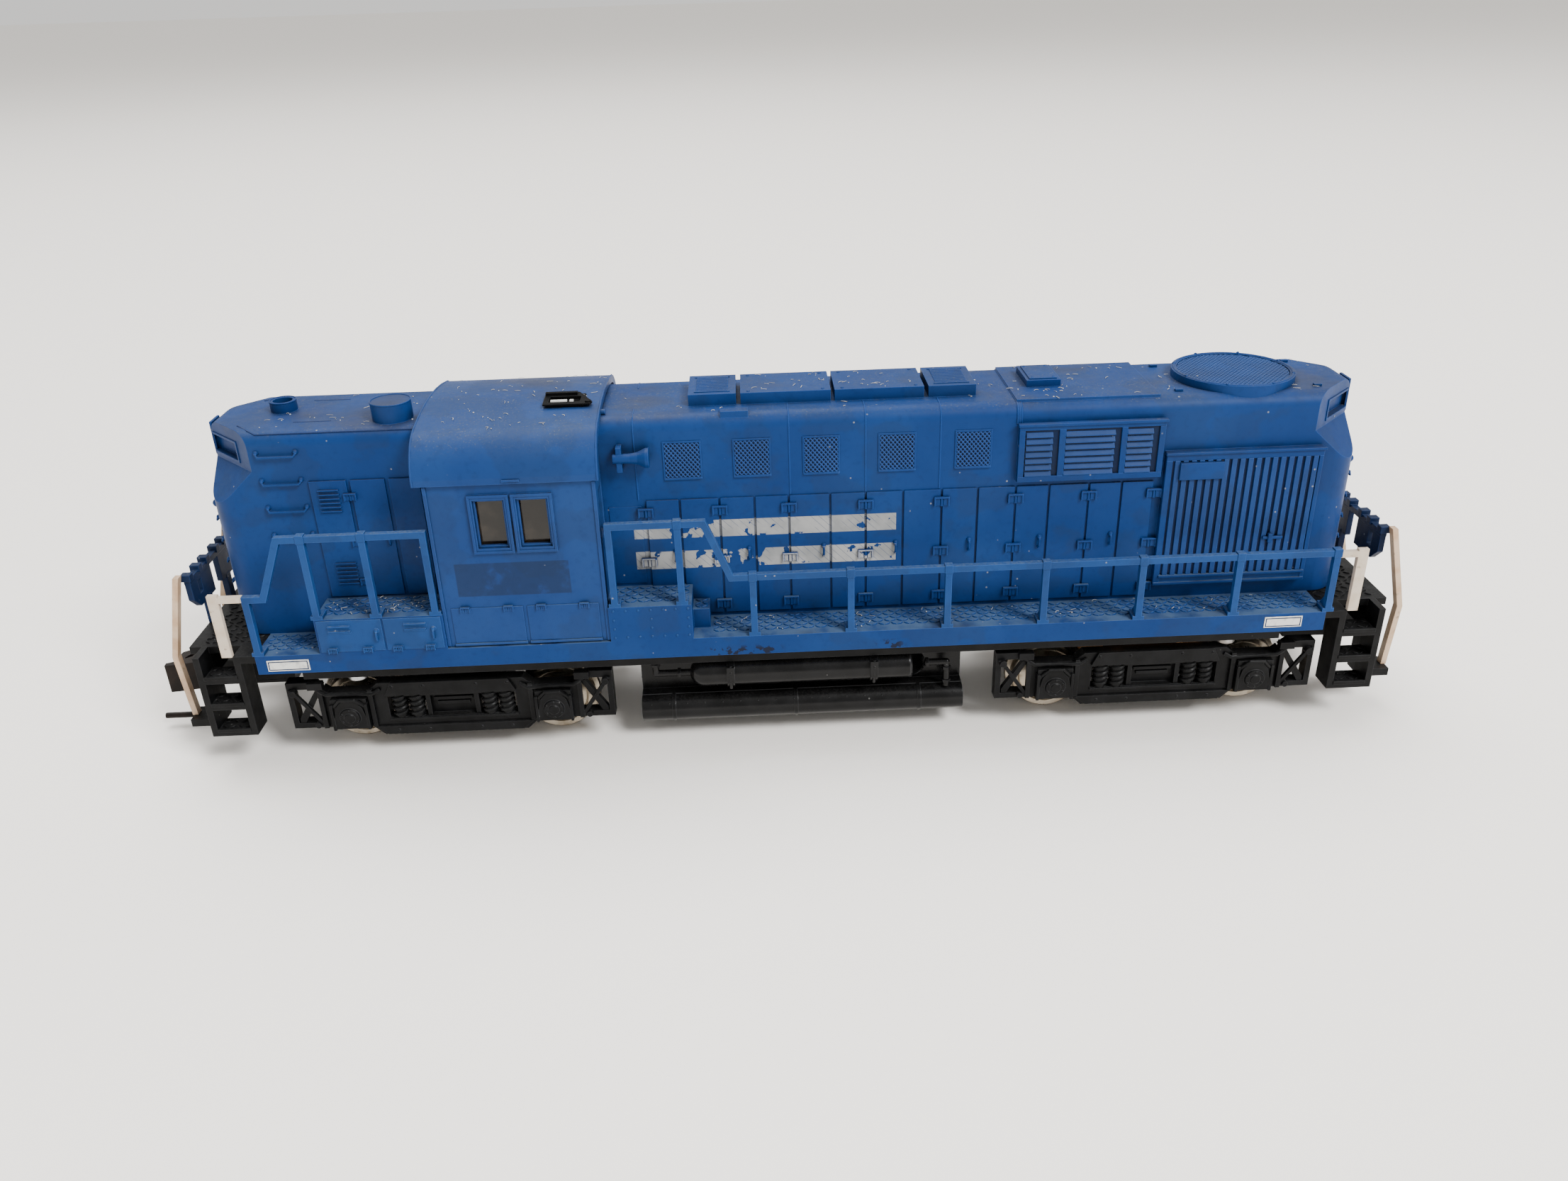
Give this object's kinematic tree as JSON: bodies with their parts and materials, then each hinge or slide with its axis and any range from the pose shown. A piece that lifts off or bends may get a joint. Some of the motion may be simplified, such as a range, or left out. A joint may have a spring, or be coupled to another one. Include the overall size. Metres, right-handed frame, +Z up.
{
  "type": "model diesel locomotive",
  "caption": "Small-scale road-switcher diesel locomotive with cab, two hoods, walkways, handrails, corner steps, geared power truck, trailing truck and rear knuckle coupler.",
  "frame": {"origin": "on the track plane at the bottom of the wheel flanges, under the middle of the body", "axes": "+X along the locomotive towards the long-hood end, +Y to the far side, +Z up"},
  "size_m": [0.2075, 0.0354, 0.057],
  "materials": {
    "blue_plastic": "satin",
    "dark_blue_plastic": "satin",
    "black_plastic": "matte",
    "gloss_black_plastic": "semi-gloss",
    "cream_plastic": "matte",
    "smoky_glazing": "smoky clear",
    "clear_lens": "clear",
    "grey_gearbox_plastic": "matte",
    "white_gear_plastic": "satin",
    "nickel_silver": "polished, tarnished",
    "steel": "plain",
    "bronze": "plain",
    "brass": "plain",
    "copper": "enamelled",
    "ferrite": "matte",
    "carbon": "matte",
    "lead_insulation": "satin",
    "coupler_brown": "satin"
  },
  "bodies": {
    "locomotive_body": {"body_shell": "blue_plastic", "cab": "blue_plastic", "cab_window_glazing": "smoky_glazing", "roof_horn_bracket": "black_plastic", "side_horn": "blue_plastic", "radiator_fan_grille": "blue_plastic", "headlight_lenses": "clear_lens", "headlight_bulb": "clear_lens", "lamp_bracket": "black_plastic", "side_handrails": "blue_plastic", "step_grab_irons": "cream_plastic", "pilot_handrails": "cream_plastic", "end_railings": "dark_blue_plastic", "front_pilot_and_steps": "black_plastic", "rear_pilot_and_steps": "black_plastic", "underframe": "black_plastic", "ballast_weights": "steel", "body_screws": "steel", "fuel_tank": "gloss_black_plastic", "air_reservoirs": "gloss_black_plastic", "pickup_leads": "lead_insulation", "rear_truck_pivot_screw": "steel", "coupler_boxes": "black_plastic", "rear_coupler_lid": "black_plastic", "front_coupler_spring": "bronze"},
    "power_truck": {"power_truck_gear_block": "grey_gearbox_plastic", "power_truck_gear_cover": "grey_gearbox_plastic", "power_truck_contacts": "bronze", "power_truck_side_frames": "black_plastic", "gear_pins": "steel", "motor_housing": "steel", "motor_magnets": "ferrite", "shaft_bushes": "bronze", "motor_brushes": "carbon", "brush_springs": "bronze"},
    "front_drive_wheelset": {"front_drive_wheels": "nickel_silver", "front_drive_axle": "steel", "front_axle_gear": "white_gear_plastic"},
    "rear_drive_wheelset": {"rear_drive_wheels": "nickel_silver", "rear_drive_axle": "steel", "rear_axle_gear": "white_gear_plastic"},
    "front_idler": {"front_idler_gear": "white_gear_plastic"},
    "rear_idler": {"rear_idler_gear": "white_gear_plastic"},
    "reduction_gear_set": {"reduction_gear": "white_gear_plastic"},
    "armature": {"armature_core": "steel", "armature_windings": "copper", "motor_shaft": "steel", "commutator": "copper", "motor_pinion": "brass"},
    "rear_truck": {"rear_truck_bolster": "black_plastic", "rear_truck_contacts": "bronze", "rear_truck_side_frames": "black_plastic"},
    "front_trailing_wheelset": {"front_trailing_wheels": "nickel_silver", "front_trailing_axle": "steel"},
    "rear_trailing_wheelset": {"rear_trailing_wheels": "nickel_silver", "rear_trailing_axle": "steel"},
    "coupler": {"rear_coupler": "coupler_brown", "knuckle_pin": "steel", "coupler_trip_pin": "coupler_brown"},
    "coupler_knuckle": {"rear_coupler_knuckle": "coupler_brown"}
  },
  "joints": [
    {"name": "power_truck_swivel", "type": "hinge", "parent": "locomotive_body", "child": "power_truck", "pos_m": [0.0585, 0, 0.016], "axis": [0, 0, 1], "range_deg": [-9, 9]},
    {"name": "rear_truck_swivel", "type": "hinge", "parent": "locomotive_body", "child": "rear_truck", "pos_m": [-0.0555, 0, 0.013], "axis": [0, 0, 1], "range_deg": [-9, 9]},
    {"name": "front_drive_axle_spin", "type": "hinge", "parent": "power_truck", "child": "front_drive_wheelset", "pos_m": [0.07485, 0, 0.0067], "axis": [0, 1, 0], "continuous": true},
    {"name": "rear_drive_axle_spin", "type": "hinge", "parent": "power_truck", "child": "rear_drive_wheelset", "pos_m": [0.04215, 0, 0.0067], "axis": [0, 1, 0], "continuous": true},
    {"name": "front_idler_spin", "type": "hinge", "parent": "power_truck", "child": "front_idler", "pos_m": [0.06647, 0, 0.01118], "axis": [0, 1, 0], "continuous": true},
    {"name": "rear_idler_spin", "type": "hinge", "parent": "power_truck", "child": "rear_idler", "pos_m": [0.05053, 0, 0.01118], "axis": [0, 1, 0], "continuous": true},
    {"name": "reduction_gear_spin", "type": "hinge", "parent": "power_truck", "child": "reduction_gear_set", "pos_m": [0.0585, 0, 0.0105], "axis": [0, 1, 0], "continuous": true},
    {"name": "armature_spin", "type": "hinge", "parent": "power_truck", "child": "armature", "pos_m": [0.0585, 0, 0.0205], "axis": [0, 1, 0], "continuous": true},
    {"name": "front_trailing_axle_spin", "type": "hinge", "parent": "rear_truck", "child": "front_trailing_wheelset", "pos_m": [-0.03915, 0, 0.0067], "axis": [0, 1, 0], "continuous": true},
    {"name": "rear_trailing_axle_spin", "type": "hinge", "parent": "rear_truck", "child": "rear_trailing_wheelset", "pos_m": [-0.07185, 0, 0.0067], "axis": [0, 1, 0], "continuous": true},
    {"name": "rear_coupler_swing", "type": "hinge", "parent": "locomotive_body", "child": "coupler", "pos_m": [-0.0885, 0, 0.00985], "axis": [0, 0, 1], "range_deg": [-6, 6]},
    {"name": "coupler_knuckle_open", "type": "hinge", "parent": "coupler", "child": "coupler_knuckle", "pos_m": [-0.102, 0.00285, 0.00985], "axis": [0, 0, 1], "range_deg": [-25, 0]}
  ],
  "couplings": [
    {"joint": "rear_drive_axle_spin", "follows": "front_drive_axle_spin", "ratio": 1},
    {"joint": "front_idler_spin", "follows": "front_drive_axle_spin", "ratio": -0.9},
    {"joint": "rear_idler_spin", "follows": "front_drive_axle_spin", "ratio": -0.9},
    {"joint": "reduction_gear_spin", "follows": "front_drive_axle_spin", "ratio": 1.5},
    {"joint": "armature_spin", "follows": "front_drive_axle_spin", "ratio": -4.5}
  ]
}
